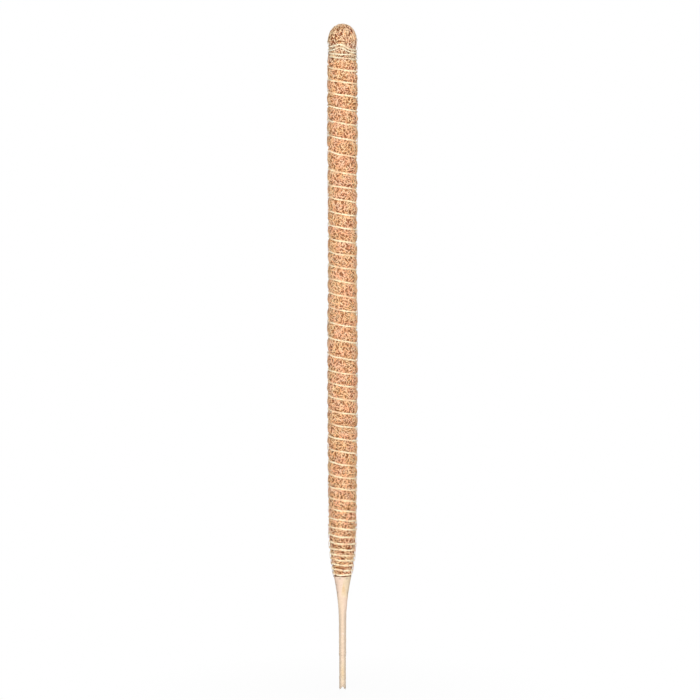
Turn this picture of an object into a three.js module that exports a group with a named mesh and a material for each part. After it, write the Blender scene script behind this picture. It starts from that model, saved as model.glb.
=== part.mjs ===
// A slim moss pole: coir on a bent wire core, bound with twine, on a taped stake that goes into the soil.
// Millimetres, +Z up. The origin is on the axis at the soil line, where the coir ends and the stake begins.
import * as THREE from 'three';

// Lengths along the pole
const COIR_LENGTH = 248; // soil line to the top of the dome
const FOOT_LENGTH = 28; // the coir's lower end, which draws in to its foot
const TAIL_LENGTH = 6; // coir that goes on below the soil line, under the neck tape
const NECK_LENGTH = 22; // the flare of the neck tape
const SLEEVE_LENGTH = 14.5; // the neck tape's straight end, over the stake tape
const STAKE_LENGTH = 50; // soil line to the lower edge of the stake tape
const STAKE_TAPE_RISE = 8; // stake tape that goes on above the soil line, inside the coir
const TIP_LENGTH = 2; // bare wire below the stake tape
const ROLL_RISE = 10; // soil line to the lower end of the inner roll
const ROLL_COVER = 11.4; // coir of the dome above the inner roll
const DOME_HEIGHT = 7.4;

// Widths across the pole
const BOUND_DIAMETER = 13.3; // over the twine
const FOOT_DIAMETER = 8.4; // over the twine at the soil line
const DOME_DIAMETER = 13.2;
const ROLL_DIAMETER = 7.2;
const NECK_DIAMETER = 8.1; // upper rim of the neck tape
const WIRE_DIAMETER = 0.75;
const WIRE_SPACING = 1.9; // between the two legs of the core wire, centre to centre
const TAPE_THICKNESS = 0.1;
const TWINE_DIAMETER = 1;
const KNOT_DIAMETER = 1.4;
const KNOT_LENGTH = 2;
const KNOT_WAIST = 0.2; // how far the knot draws in between its two wraps
const KNOT_END = 0.4; // how far it draws in at its ends

// Outline of the pole
const SWELL = 0.15; // slow swell of the hand-made pole's radius
const SWELL_WAVES = 2;
const FOOT_POWER = 2.8; // roundness of the foot
const NECK_POWER = 2; // hollowness of the neck's flare

// The binding: close turns of the tie, an open run, and turns that close up towards the foot
const TIE_TURNS = 3.5;
const TIE_GAP = 0.5; // between the turns of the tie
const TIE_DROP = 9.95; // top of the dome to the start of the tie
const TIE_ARCH = 1.35; // lift of the tie's first turns where they cross the front
const TIE_ARCH_TURNS = 2;
const TIE_ARCH_PLACE = 0.47; // share of a turn; the middle of the front is at a half
const TIE_ARCH_WIDTH = 0.08; // in turns
const OPEN_TURNS = 29;
const OPEN_WANDER = 1.25; // drift of the open turns from an even pitch
const OPEN_WAVES = 2;
const LONG_WANDER = 1.2; // a slower drift on top of it
const LONG_WAVES = 1;
const SHORT_WANDER = 0.35; // and a quicker one
const SHORT_WAVES = 2.5;
const SLIP_DROP = 1.6; // how far the twine slipped down at two places of the open run
const UPPER_SLIP_TURN = 11.9;
const LOWER_SLIP_TURN = 25;
const SLIP_TURNS = 1; // a slip fades out over about this much of the winding, both ways
const CLOSE_TURNS = 14;
const CLOSE_GAP_START = 4.96; // between the turns where they begin to close up
const CLOSE_GAP_END = 1.28; // between the last turns
const FOOT_TURNS = 4; // the last of the closing turns, which lie evenly
const LEVEL_TURNS = 0.375; // the twine's lower end, which runs level to its knot
const LAST_TURN_GAP = 0.15; // soil line to the twine's lower end
const SPLIT_TURN = 24; // the binding is drawn as two lengths that meet behind the pole after this turn

// Grooves that the twine presses into the coir
const GROOVE_DEPTH = 1.25;
const GROOVE_SLOPE = 0.6; // steepest side of a groove, depth over width

// Clearances
const FIT_GAP = 0.2; // around the wire, the roll and the coir tail
const TAPE_GAP = 0.06; // under each layer of tape
const TWINE_GAP = 0.15; // between the twine and its groove
const END_GAP = 0.15; // left at each end of a length of twine
const RIM_GAP = 0.2; // soil line to the neck tape's upper rim

// Fineness of the surfaces
const STEPS = 16; // round the pole, and along one turn of twine
const RAILS = 3; // rows of points from one turn of the groove to the next
const TWINE_SIDES = 5;
const WIRE_SIDES = 12;
const DOME_RINGS = 5;
const NECK_RINGS = 7;
const BEND_STEPS = 8;
const KNOT_SIDES = 10;

// Colours of the materials
const WIRE_COLOR = 0xc8beb2;
const ROLL_COLOR = 0x9a6a45;
const COIR_COLOR = 0xdfae85;
const TAPE_COLOR = 0xf4dbbb;
const TWINE_COLOR = 0xffebc3;

// Sizes that follow from the ones above
const boundRadius = BOUND_DIAMETER / 2;
const footRadius = FOOT_DIAMETER / 2;
const domeRadius = DOME_DIAMETER / 2;
const rollRadius = ROLL_DIAMETER / 2;
const wireRadius = WIRE_DIAMETER / 2;
const twineRadius = TWINE_DIAMETER / 2;
const halfSpacing = WIRE_SPACING / 2;
const domeBase = COIR_LENGTH - DOME_HEIGHT;
const rollTop = COIR_LENGTH - ROLL_COVER;
const wireTip = -STAKE_LENGTH - TIP_LENGTH;
const stakeBore = wireRadius + TAPE_GAP;
const stakeRadius = stakeBore + TAPE_THICKNESS;
const sleeveRadius = stakeRadius + TAPE_GAP + TAPE_THICKNESS;
const totalTurns = TIE_TURNS + OPEN_TURNS + CLOSE_TURNS + LEVEL_TURNS;
const narrowingTurns = CLOSE_TURNS - FOOT_TURNS;
const tieStart = COIR_LENGTH - TIE_DROP;
const tiePitch = TWINE_DIAMETER + TIE_GAP;
const closePitchStart = TWINE_DIAMETER + CLOSE_GAP_START;
const closePitchEnd = TWINE_DIAMETER + CLOSE_GAP_END;
const closeLength = (narrowingTurns * (closePitchStart + closePitchEnd)) / 2 + FOOT_TURNS * closePitchEnd;
const lastTurnHeight = LAST_TURN_GAP + twineRadius;
const openLength = tieStart - tiePitch * TIE_TURNS - closeLength - lastTurnHeight;

// Closed bodies from loops of points

// Joins two closed loops by a band of triangles: point to point where they have as many points,
// and across the shorter diagonal where they don't.
function bandBetween(first, second) {
  const faces = [];
  const firstCount = first.length === 1 ? 0 : first.length;
  const secondCount = second.length === 1 ? 0 : second.length;
  let i = 0;
  let j = 0;
  while (i < firstCount || j < secondCount) {
    const a = first[i % first.length];
    const b = second[j % second.length];
    const nextA = first[(i + 1) % first.length];
    const nextB = second[(j + 1) % second.length];
    const shorter = firstCount === secondCount ? j <= i : a.distanceTo(nextB) <= nextA.distanceTo(b);
    if (i === firstCount || (j < secondCount && shorter)) {
      faces.push([a, b, nextB]);
      j += 1;
    } else {
      faces.push([a, b, nextA]);
      i += 1;
    }
  }
  return faces;
}

function bandsAlong(loops) {
  return loops.slice(1).flatMap((loop, i) => bandBetween(loops[i], loop));
}

function geometryOf(faces) {
  return new THREE.BufferGeometry().setFromPoints(faces.flat());
}

// Loops run from one end point over the outside to another end point.
function solidAlong(loops) {
  return geometryOf(bandsAlong(loops));
}

// Loops run down the outside and back up the inside to where they began.
function sleeveAlong(loops) {
  return geometryOf(bandsAlong([...loops, loops[0]]));
}

// Sections across the pole

const stepAngle = (step) => Math.PI / 2 + (2 * Math.PI * step) / STEPS;
const across = (radius, angle, z) => (
  new THREE.Vector3(radius * Math.cos(angle), radius * Math.sin(angle), z)
);
const onAxis = (z) => [new THREE.Vector3(0, 0, z)];

function ring(radius, z) {
  return Array.from({ length: STEPS }, (_, step) => across(radius, stepAngle(step), z));
}

// A round section drawn out along X by the same amount on both sides, as tape lies on two wires.
// The first point and the opposite one lie at x = 0 and stay there.
function oval(stretch, radius, z) {
  return ring(radius, z).map((point, step) => {
    const onMiddle = step % (STEPS / 2) === 0;
    point.x += onMiddle ? 0 : Math.sign(point.x) * stretch;
    return point;
  });
}

// A tube of flat sides along a line of points, with square ends.
function tubeAlong(line, radius, sides, upHint) {
  const loops = line.map((point, i) => {
    const before = line[Math.max(i - 1, 0)];
    const after = line[Math.min(i + 1, line.length - 1)];
    const forward = after.clone().sub(before).normalize();
    const side = forward.clone().cross(upHint(point)).normalize();
    const up = side.clone().cross(forward);
    return Array.from({ length: sides }, (_, k) => {
      const angle = (2 * Math.PI * k) / sides;
      const corner = point.clone().addScaledVector(side, radius * Math.cos(angle));
      return corner.addScaledVector(up, radius * Math.sin(angle));
    });
  });
  return solidAlong([[line[0]], ...loops, [line.at(-1)]]);
}

// The route of the twine

const clamp = THREE.MathUtils.clamp;

// 1 in the middle, falling to 0 over about the width on both sides.
const hump = (distance, width) => Math.exp(-((distance / width) ** 2));

// Height of the twine's centre, counted in turns from its upper end.
function twineHeight(turns) {
  const tied = Math.min(turns, TIE_TURNS);
  const open = clamp((turns - TIE_TURNS) / OPEN_TURNS, 0, 1);
  const closing = clamp(turns - TIE_TURNS - OPEN_TURNS, 0, CLOSE_TURNS);
  const narrowed = Math.min(closing, narrowingTurns);
  const pitchLoss = (closePitchStart - closePitchEnd) / narrowingTurns;
  const narrowDrop = closePitchStart * narrowed - (pitchLoss * narrowed ** 2) / 2;
  const closeDrop = narrowDrop + closePitchEnd * (closing - narrowed);
  const drift = (size, waves) => size * Math.sin(2 * Math.PI * waves * open);
  const slowWander = drift(OPEN_WANDER, OPEN_WAVES) + drift(LONG_WANDER, LONG_WAVES);
  const wander = slowWander + drift(SHORT_WANDER, SHORT_WAVES);
  const upperSlip = hump(turns - UPPER_SLIP_TURN, SLIP_TURNS);
  const lowerSlip = hump(turns - LOWER_SLIP_TURN, SLIP_TURNS);
  const slip = SLIP_DROP * (upperSlip + lowerSlip);
  const arch = turns < TIE_ARCH_TURNS ? TIE_ARCH * hump((turns % 1) - TIE_ARCH_PLACE, TIE_ARCH_WIDTH) : 0;
  return tieStart - tiePitch * tied - openLength * open + wander - slip - closeDrop + arch;
}

// Radius of the pole over the twine.
function outlineRadius(z) {
  const swell = SWELL * Math.sin((2 * Math.PI * SWELL_WAVES * z) / domeBase);
  const rise = 1 - (1 - clamp(z / FOOT_LENGTH, 0, 1)) ** FOOT_POWER;
  return footRadius + (boundRadius - swell - footRadius) * rise;
}

// A groove is shallower where the turns lie close.
function grooveDepth(turns) {
  const above = turns < 1 ? Infinity : twineHeight(turns - 1) - twineHeight(turns);
  const below = turns > totalTurns - 1 ? Infinity : twineHeight(turns) - twineHeight(turns + 1);
  return Math.min(GROOVE_DEPTH, (GROOVE_SLOPE * Math.min(above, below)) / RAILS);
}

// Radius of the coir at a height above the floor of its grooves.
function coirRadius(z, aboveFloor) {
  const seat = (twineRadius + TWINE_GAP) * Math.hypot(1, GROOVE_SLOPE);
  return outlineRadius(z) - twineRadius - seat + aboveFloor;
}

function twineCentre(step) {
  const z = twineHeight(step / STEPS);
  return across(outlineRadius(z) - twineRadius, stepAngle(step), z);
}

// A point of the coir, a share of the way from one turn of the groove to the next.
function coirPoint(step, share) {
  const turns = step / STEPS;
  if (share === 0) return across(coirRadius(twineHeight(turns), 0), stepAngle(step), twineHeight(turns));
  const z = THREE.MathUtils.lerp(twineHeight(turns), twineHeight(turns + 1), share);
  const crest = THREE.MathUtils.lerp(grooveDepth(turns), grooveDepth(turns + 1), share);
  return across(coirRadius(z, crest), stepAngle(step), z);
}

// A length of twine from one turn to another, cut short by a small gap at both ends.
function twineLine(fromTurn, toTurn) {
  const first = Math.round(fromTurn * STEPS);
  const last = Math.round(toTurn * STEPS);
  const line = Array.from({ length: last - first + 1 }, (_, i) => twineCentre(first + i));
  const shorten = (end, next) => end.addScaledVector(next.clone().sub(end).normalize(), END_GAP);
  shorten(line[0], line[1]);
  shorten(line.at(-1), line.at(-2));
  return line;
}

// Least gap between one turn and the next, over points more than half a turn apart.
function leastGap(line) {
  let least = Infinity;
  line.forEach((point, i) => {
    line.slice(i + STEPS / 2 + 1).forEach((other) => {
      least = Math.min(least, point.distanceTo(other) - TWINE_DIAMETER);
    });
  });
  return least;
}

// The pieces

const group = new THREE.Group();

function addPiece(name, geometry, color, roughness, metalness = 0) {
  geometry.computeVertexNormals();
  const mesh = new THREE.Mesh(geometry, new THREE.MeshStandardMaterial({ color, roughness, metalness }));
  mesh.name = name;
  group.add(mesh);
  return mesh;
}

// One wire bent double: two legs and a round bend above the inner roll.
function coreWire() {
  const bend = Array.from({ length: BEND_STEPS + 1 }, (_, i) => {
    const angle = (Math.PI * i) / BEND_STEPS;
    return new THREE.Vector3(-halfSpacing * Math.cos(angle), 0, rollTop + halfSpacing * Math.sin(angle));
  });
  const legEnd = (x) => new THREE.Vector3(x, 0, wireTip);
  const line = [legEnd(-halfSpacing), ...bend, legEnd(halfSpacing)];
  return tubeAlong(line, wireRadius, WIRE_SIDES, () => new THREE.Vector3(0, 1, 0));
}

// Coir rolled tight on the wire.
function innerRoll() {
  const bore = wireRadius + FIT_GAP;
  return sleeveAlong([
    ring(rollRadius, rollTop),
    ring(rollRadius, ROLL_RISE),
    oval(halfSpacing, bore, ROLL_RISE),
    oval(halfSpacing, bore, rollTop),
  ]);
}

// Half width and stretch of the neck tape's section, from its rim to its sleeve.
function neckSection(z, inset) {
  const share = clamp(-z / NECK_LENGTH, 0, 1);
  const narrow = halfSpacing + sleeveRadius;
  const halfWidth = narrow + (NECK_DIAMETER / 2 - narrow) * (1 - share) ** NECK_POWER;
  const stretch = halfSpacing * share;
  return oval(stretch, halfWidth - stretch - inset, z);
}

// Coir matting round the roll: a dome on top, helical grooves under the twine, and a tail in the neck.
function outerMat() {
  const windingSteps = Math.round(totalTurns * STEPS);
  const floor = Array.from({ length: windingSteps + 1 }, (_, step) => coirPoint(step, 0));
  // Row 0 is the groove, and the row after the last one is the groove one turn lower.
  const rows = Array.from({ length: RAILS }, (_, row) => (
    Array.from({ length: windingSteps - STEPS + 1 }, (__, step) => coirPoint(step, row / RAILS))
  ));
  rows.push(floor.slice(STEPS));
  // The loop round one turn of groove, closed by stepping back up from row to row.
  const turnLoop = (step) => [
    ...floor.slice(step, step + STEPS + 1),
    ...rows.slice(1, RAILS).map((row) => row[step]).reverse(),
  ];
  const faces = [];
  for (let row = 0; row < RAILS; row += 1) {
    for (let step = 0; step < windingSteps - STEPS; step += 1) {
      const upper = rows[row];
      const lower = rows[row + 1];
      faces.push([upper[step], lower[step], lower[step + 1]]);
      faces.push([upper[step], lower[step + 1], upper[step + 1]]);
    }
  }
  const dome = Array.from({ length: DOME_RINGS }, (_, i) => {
    const angle = (Math.PI / 2) * ((i + 1) / DOME_RINGS);
    return ring(domeRadius * Math.sin(angle), domeBase + DOME_HEIGHT * Math.cos(angle));
  });
  const tailInset = TAPE_THICKNESS + FIT_GAP;
  const bore = stakeRadius + FIT_GAP;
  const chamberFloor = ROLL_RISE - FIT_GAP;
  const chamberRadius = rollRadius + FIT_GAP;
  const chamberTop = rollTop + halfSpacing + wireRadius + FIT_GAP;
  faces.push(...bandsAlong([onAxis(COIR_LENGTH), ...dome, turnLoop(0)]));
  faces.push(...bandsAlong([
    turnLoop(windingSteps - STEPS),
    ring(coirRadius(0, grooveDepth(totalTurns)), 0),
    neckSection(-RIM_GAP, tailInset),
    neckSection(-TAIL_LENGTH / 2, tailInset),
    neckSection(-TAIL_LENGTH, tailInset),
    oval(halfSpacing, bore, -TAIL_LENGTH),
    oval(halfSpacing, bore, chamberFloor),
    ring(chamberRadius, chamberFloor),
    ring(chamberRadius, chamberTop),
    onAxis(chamberTop),
  ]));
  return geometryOf(faces);
}

// Tape round both wires, from inside the coir to just above their tips.
function stakeTape() {
  return sleeveAlong([
    oval(halfSpacing, stakeRadius, STAKE_TAPE_RISE),
    oval(halfSpacing, stakeRadius, -STAKE_LENGTH),
    oval(halfSpacing, stakeBore, -STAKE_LENGTH),
    oval(halfSpacing, stakeBore, STAKE_TAPE_RISE),
  ]);
}

// Tape that flares over the coir's tail and ends in a sleeve on the stake.
function neckTape() {
  const heights = Array.from({ length: NECK_RINGS }, (_, i) => (
    THREE.MathUtils.lerp(-RIM_GAP, -NECK_LENGTH, i / (NECK_RINGS - 1))
  ));
  heights.push(-NECK_LENGTH - SLEEVE_LENGTH);
  const outside = heights.map((z) => neckSection(z, 0));
  const inside = heights.map((z) => neckSection(z, TAPE_THICKNESS));
  return sleeveAlong([...outside, ...inside.reverse()]);
}

// A knot of two wraps, lying in line with the end of the twine.
function knotBody() {
  const half = KNOT_LENGTH / 2;
  const wrap = KNOT_DIAMETER / 2;
  const profile = [
    [0, -half],
    [wrap - KNOT_END / 2, -half],
    [wrap, -half / 2],
    [wrap - KNOT_WAIST / 2, 0],
    [wrap, half / 2],
    [wrap - KNOT_END / 2, half],
    [0, half],
  ].map(([radius, along]) => new THREE.Vector2(radius, along));
  const body = new THREE.LatheGeometry(profile, KNOT_SIDES);
  body.deleteAttribute('normal');
  body.deleteAttribute('uv');
  return body;
}

const fromAxis = (point) => new THREE.Vector3(point.x, point.y, 0).normalize();

// Lays a knot beyond an end of the twine, raised clear of the coir.
function addKnot(name, end, next) {
  const knot = addPiece(name, knotBody(), TWINE_COLOR, 0.9);
  const onward = end.clone().sub(next).normalize();
  knot.position.copy(end);
  knot.position.addScaledVector(onward, END_GAP + KNOT_LENGTH / 2);
  knot.position.addScaledVector(fromAxis(end), KNOT_DIAMETER / 2);
  knot.quaternion.setFromUnitVectors(new THREE.Vector3(0, 1, 0), onward);
}

addPiece('core_wire', coreWire(), WIRE_COLOR, 0.45, 0.9);
addPiece('inner_coir_roll', innerRoll(), ROLL_COLOR, 0.95);
addPiece('outer_coir_mat', outerMat(), COIR_COLOR, 0.95);
addPiece('stake_tape', stakeTape(), TAPE_COLOR, 0.8);
addPiece('neck_tape', neckTape(), TAPE_COLOR, 0.8);

const upperTwine = twineLine(0, SPLIT_TURN);
const lowerTwine = twineLine(SPLIT_TURN, totalTurns);
for (const [name, line] of [['binding_twine_upper', upperTwine], ['binding_twine_lower', lowerTwine]]) {
  addPiece(name, tubeAlong(line, twineRadius, TWINE_SIDES, fromAxis), TWINE_COLOR, 0.9);
  console.log(`${name}: least gap to itself ${leastGap(line).toFixed(2)} mm`);
}
addKnot('top_knot', upperTwine[0], upperTwine[1]);
addKnot('bottom_knot', lowerTwine.at(-1), lowerTwine.at(-2));

export default group;
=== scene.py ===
# %% [markdown]
# # A moss pole
#
# Coir is wound on a bent wire and bound with pale twine. A taped stake below it goes into the soil.
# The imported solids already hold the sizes, so this lesson only dresses them: curled fibres, twisted twine,
# crinkled tape and dull wire. Everything is in metres, in the frame of the solids.

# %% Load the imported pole
import math

import bpy
import numpy as np
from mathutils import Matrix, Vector


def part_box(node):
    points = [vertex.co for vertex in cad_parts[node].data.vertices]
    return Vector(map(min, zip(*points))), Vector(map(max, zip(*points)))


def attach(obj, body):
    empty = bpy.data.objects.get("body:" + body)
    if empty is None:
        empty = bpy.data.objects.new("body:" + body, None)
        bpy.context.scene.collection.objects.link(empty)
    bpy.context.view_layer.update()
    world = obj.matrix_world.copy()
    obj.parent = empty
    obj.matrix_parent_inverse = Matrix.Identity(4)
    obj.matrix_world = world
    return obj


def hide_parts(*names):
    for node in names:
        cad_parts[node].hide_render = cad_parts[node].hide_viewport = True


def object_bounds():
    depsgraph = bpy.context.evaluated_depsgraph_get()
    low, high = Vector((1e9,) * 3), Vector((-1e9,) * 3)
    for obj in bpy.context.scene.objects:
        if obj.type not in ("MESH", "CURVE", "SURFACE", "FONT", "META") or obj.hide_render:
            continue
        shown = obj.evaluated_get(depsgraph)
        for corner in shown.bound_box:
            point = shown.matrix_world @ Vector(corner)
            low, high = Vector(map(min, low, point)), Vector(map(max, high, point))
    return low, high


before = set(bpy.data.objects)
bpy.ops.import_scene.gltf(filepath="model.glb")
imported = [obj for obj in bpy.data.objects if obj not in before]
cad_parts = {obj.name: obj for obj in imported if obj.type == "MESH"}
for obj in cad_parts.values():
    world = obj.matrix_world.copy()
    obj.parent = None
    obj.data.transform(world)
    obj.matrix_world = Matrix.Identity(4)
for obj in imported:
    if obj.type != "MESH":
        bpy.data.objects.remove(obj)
cad_low, cad_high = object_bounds()
MM = 0.001
TURN = 2 * math.pi
print("packed pole:", [round(side / MM, 2) for side in cad_high - cad_low], "mm")

# %% [markdown]
# ## The camera
#
# The photo is taken from a little above, through a long lens, with the pole nearly as tall as the frame.
# Two rows of the photo fix the lens and the aim: the top of the dome and the tip of the stake. A camera
# could also be placed by eye, but solving for both rows puts the model where the photo has it.

# %% Place the camera
IMAGE_SIZE = 700  # pixels, both ways
TOP_ROW = 23
TIP_ROW = 689.5
AXIS_COLUMN = 342.5
ELEVATION = math.radians(6)
DISTANCE = 2.1
SENSOR = 36  # millimetres, the camera's own default
AIM_STEPS = 40  # each one halves what is left of the search
DOME_RADIUS = 6.6 * MM
DOME_HEIGHT = 7.4 * MM
DOME_BASE = cad_high.z - DOME_HEIGHT
DOME_REACH = math.hypot(DOME_HEIGHT * math.cos(ELEVATION), DOME_RADIUS * math.sin(ELEVATION))


def image_height(height, reach, aim):
    """Height in the image, over the focal length, of a point on the axis whose outline reaches further up."""
    up = (height - aim) * math.cos(ELEVATION) + reach
    return up / (DISTANCE - (height - aim) * math.sin(ELEVATION))


wanted_share = (IMAGE_SIZE / 2 - TOP_ROW) / (TIP_ROW - TOP_ROW)
aim_low, aim_high = cad_low.z, cad_high.z
for _ in range(AIM_STEPS):
    aim = (aim_low + aim_high) / 2
    top_height = image_height(DOME_BASE, DOME_REACH, aim)
    tip_height = image_height(cad_low.z, 0, aim)
    if top_height / (top_height - tip_height) > wanted_share:
        aim_low = aim
    else:
        aim_high = aim

focal_pixels = (TIP_ROW - TOP_ROW) / (top_height - tip_height)
aside = (IMAGE_SIZE / 2 - AXIS_COLUMN) * DISTANCE / focal_pixels
camera_place = (aside, -DISTANCE * math.cos(ELEVATION), aim + DISTANCE * math.sin(ELEVATION))
bpy.ops.object.select_all(action="DESELECT")
bpy.ops.object.camera_add(location=camera_place, rotation=(math.pi / 2 - ELEVATION, 0, 0))
camera = bpy.context.object
camera.data.sensor_width = SENSOR
camera.data.lens = SENSOR * focal_pixels / IMAGE_SIZE
bpy.context.scene.camera = camera
print(f"camera aims at {aim / MM:.1f} mm through a {camera.data.lens:.0f} mm lens")

# %% [markdown]
# ## Light and floor
#
# The photo has soft, even light and a pure white ground. Large area lamps in front make the pole fall off a
# little to its sides, and the world fills the shade. The floor and the world look white to the camera through
# the light path, so no extra light falls on the pole, and the floor keeps a part that takes the shadow.

# %% Light the pole
bpy.context.scene.view_settings.view_transform = "Standard"


def add_lamp(name, place, size, power):
    """An area lamp that faces the middle of the pole."""
    bpy.ops.object.light_add(type="AREA", location=place)
    lamp = bpy.context.object
    lamp.name = name
    lamp.data.size = size
    lamp.data.energy = power
    facing = Vector((0, 0, aim)) - lamp.location
    lamp.rotation_euler = facing.to_track_quat("-Z", "Y").to_euler()


add_lamp("key_lamp", place=(-0.3, -1.5, 0.9), size=0.7, power=15.5)
add_lamp("fill_lamp", place=(0.3, -1.5, 0.4), size=0.7, power=12)
add_lamp("back_lamp", place=(0.2, 1.5, 0.9), size=0.9, power=14)


def feed(tree, socket, value):
    """Links a socket to another one, or sets it to a plain value."""
    if isinstance(value, bpy.types.NodeSocket):
        tree.links.new(value, socket)
    else:
        socket.default_value = value


def add_node(tree, kind, **inputs):
    """A new node with some of its inputs fed by name."""
    node = tree.nodes.new(kind)
    for name, value in inputs.items():
        feed(tree, node.inputs[name.replace("_", " ")], value)
    return node


def compute(tree, operation, *values, kind="ShaderNodeMath"):
    """The result of a math node over sockets and plain values."""
    node = tree.nodes.new(kind)
    node.operation = operation
    for socket, value in zip(node.inputs, values):
        feed(tree, socket, value)
    return node.outputs[0]


def vector_math(tree, operation, *values):
    """The result of a math node over vectors."""
    return compute(tree, operation, *values, kind="ShaderNodeVectorMath")


def grade(tree, value, low, high, start=0, end=1):
    """A value that goes from start to end, spread between low and high instead, and held there beyond."""
    spread = {"From_Min": start, "From_Max": end, "To_Min": low, "To_Max": high}
    return add_node(tree, "ShaderNodeMapRange", Value=value, **spread).outputs["Result"]


def mix_shaders(tree, factor, first, second):
    """A mix of two shaders, on its way to the output."""
    node = tree.nodes.new("ShaderNodeMixShader")
    for socket, value in zip(node.inputs, (factor, first, second)):
        feed(tree, socket, value)
    output = next(found for found in tree.nodes if found.type.startswith("OUTPUT"))
    tree.links.new(node.outputs[0], output.inputs["Surface"])


def white_to_sight(tree):
    """1 for rays from the camera, and from mirrors and glass, which show the same white ground."""
    path = tree.nodes.new("ShaderNodeLightPath").outputs
    mirrored = compute(tree, "MAXIMUM", path["Is Glossy Ray"], path["Is Transmission Ray"])
    return compute(tree, "MAXIMUM", path["Is Camera Ray"], mirrored)


WHITE = (1, 1, 1, 1)
ROOM_LIGHT = 0.16
world = bpy.data.worlds.new("studio")
bpy.context.scene.world = world
world.use_nodes = True
world_tree = world.node_tree
room = world_tree.nodes["Background"]
room.inputs["Color"].default_value = WHITE
room.inputs["Strength"].default_value = ROOM_LIGHT
ground = add_node(world_tree, "ShaderNodeBackground", Color=WHITE, Strength=1)
mix_shaders(world_tree, white_to_sight(world_tree), room.outputs[0], ground.outputs[0])

FLOOR_SIZE = 16
FLOOR_WHITE = 0.93  # share of plain white at the pole; the rest takes light and shadow
SHADOW_REACH = (0.01, 0.1)  # from the first distance to the second the floor turns all white
bpy.ops.mesh.primitive_plane_add(size=FLOOR_SIZE, location=(0, 0, cad_low.z))
floor = bpy.context.object
floor.name = "floor"
floor_finish = bpy.data.materials.new("white_floor")
floor_finish.use_nodes = True
floor_tree = floor_finish.node_tree
paint = floor_tree.nodes["Principled BSDF"]
paint.inputs["Base Color"].default_value = (0.86, 0.86, 0.86, 1)
paint.inputs["Roughness"].default_value = 0.9
glow = add_node(floor_tree, "ShaderNodeEmission", Color=WHITE, Strength=1)
away = add_node(floor_tree, "ShaderNodeVectorMath")
away.operation = "LENGTH"
feed(floor_tree, away.inputs[0], add_node(floor_tree, "ShaderNodeTexCoord").outputs["Object"])
whiten = grade(floor_tree, away.outputs["Value"], FLOOR_WHITE, 1, *SHADOW_REACH)
seen = compute(floor_tree, "MULTIPLY", white_to_sight(floor_tree), whiten)
mix_shaders(floor_tree, seen, paint.outputs[0], glow.outputs[0])
floor.data.materials.append(floor_finish)
print("floor at", round(cad_low.z / MM, 2), "mm")

# %% [markdown]
# ## The route of the twine
#
# One twine binds the whole pole. It starts with a few close turns below the dome, runs down in open turns and
# closes up at the foot, always falling to the right across the front. A curve could be drawn by hand, turn by
# turn. A formula keeps the twine, its grooves and the fibres under it in step with the solids.

# %% Follow the twine
TWINE_RADIUS = 0.5 * MM
BOUND_RADIUS = 6.65 * MM
FOOT_RADIUS = 4.2 * MM
FOOT_LENGTH = 28 * MM
FOOT_POWER = 2.8
SWELL = 0.15 * MM
SWELL_WAVES = 2
TIE_TURNS = 3.5
TIE_PITCH = 1.5 * MM
TIE_START = cad_high.z - 9.95 * MM
TIE_ARCH = 1.35 * MM
TIE_ARCH_TURNS = 2
TIE_ARCH_PLACE = 0.47
TIE_ARCH_WIDTH = 0.08
TIE_FALL = 1.4 * MM  # the tie's upper turns hang lower on the right
OPEN_TURNS = 29
DRIFTS = ((1.25 * MM, 2), (1.2 * MM, 1), (0.35 * MM, 2.5))  # of the open turns: size and waves
SLIP_DROP = 1.6 * MM
SLIP_PLACES = (11.9, 25)  # turns that slipped down
SLIP_TURNS = 1
CLOSE_TURNS = 14
CLOSE_PITCH_START = 5.96 * MM
CLOSE_PITCH_END = 2.28 * MM
FOOT_TURNS = 4  # the last of the closing turns lie evenly
LEVEL_TURNS = 0.375
LAST_TURN_HEIGHT = 0.65 * MM
BACK_SHARE = 0.25  # of a turn, from the side at +X to the back
TABLE_STEPS = 4000
TOTAL_TURNS = TIE_TURNS + OPEN_TURNS + CLOSE_TURNS + LEVEL_TURNS
NARROWING_TURNS = CLOSE_TURNS - FOOT_TURNS
CLOSE_LENGTH = NARROWING_TURNS * (CLOSE_PITCH_START + CLOSE_PITCH_END) / 2 + FOOT_TURNS * CLOSE_PITCH_END
OPEN_LENGTH = TIE_START - TIE_PITCH * TIE_TURNS - CLOSE_LENGTH - LAST_TURN_HEIGHT


def ridge(value, centre, width):
    """1 at the centre, falling to 0 over about the width on both sides."""
    return np.exp(-(((value - centre) / width) ** 2))


def soft_step(value, edge, width):
    """0 below the edge and 1 above it, over about the width."""
    return 0.5 + 0.5 * np.tanh((value - edge) / width)


def even_height(turns):
    """Height of the twine by turns from its upper end, without the arch of the tie."""
    tied = np.minimum(turns, TIE_TURNS)
    run = np.clip((turns - TIE_TURNS) / OPEN_TURNS, 0, 1)
    closing = np.clip(turns - TIE_TURNS - OPEN_TURNS, 0, CLOSE_TURNS)
    narrowed = np.minimum(closing, NARROWING_TURNS)
    loss = (CLOSE_PITCH_START - CLOSE_PITCH_END) / NARROWING_TURNS
    drop = CLOSE_PITCH_START * narrowed - loss * narrowed**2 / 2 + CLOSE_PITCH_END * (closing - narrowed)
    drift = sum(size * np.sin(TURN * waves * run) for size, waves in DRIFTS)
    slip = SLIP_DROP * sum(ridge(turns, place, SLIP_TURNS) for place in SLIP_PLACES)
    return TIE_START - TIE_PITCH * tied - OPEN_LENGTH * run + drift - slip - drop


def tie_arch(turns):
    """Lift of the tie's first turns where they cross the front, and their fall on the right."""
    lift = np.where(turns < TIE_ARCH_TURNS, TIE_ARCH * ridge(turns % 1, TIE_ARCH_PLACE, TIE_ARCH_WIDTH), 0)
    to_right = np.clip(np.sin(TURN * (turns % 1 - 0.5)), 0, 1)
    return lift - TIE_FALL * np.clip(1 - turns / TIE_TURNS, 0, 1) * to_right


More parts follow.
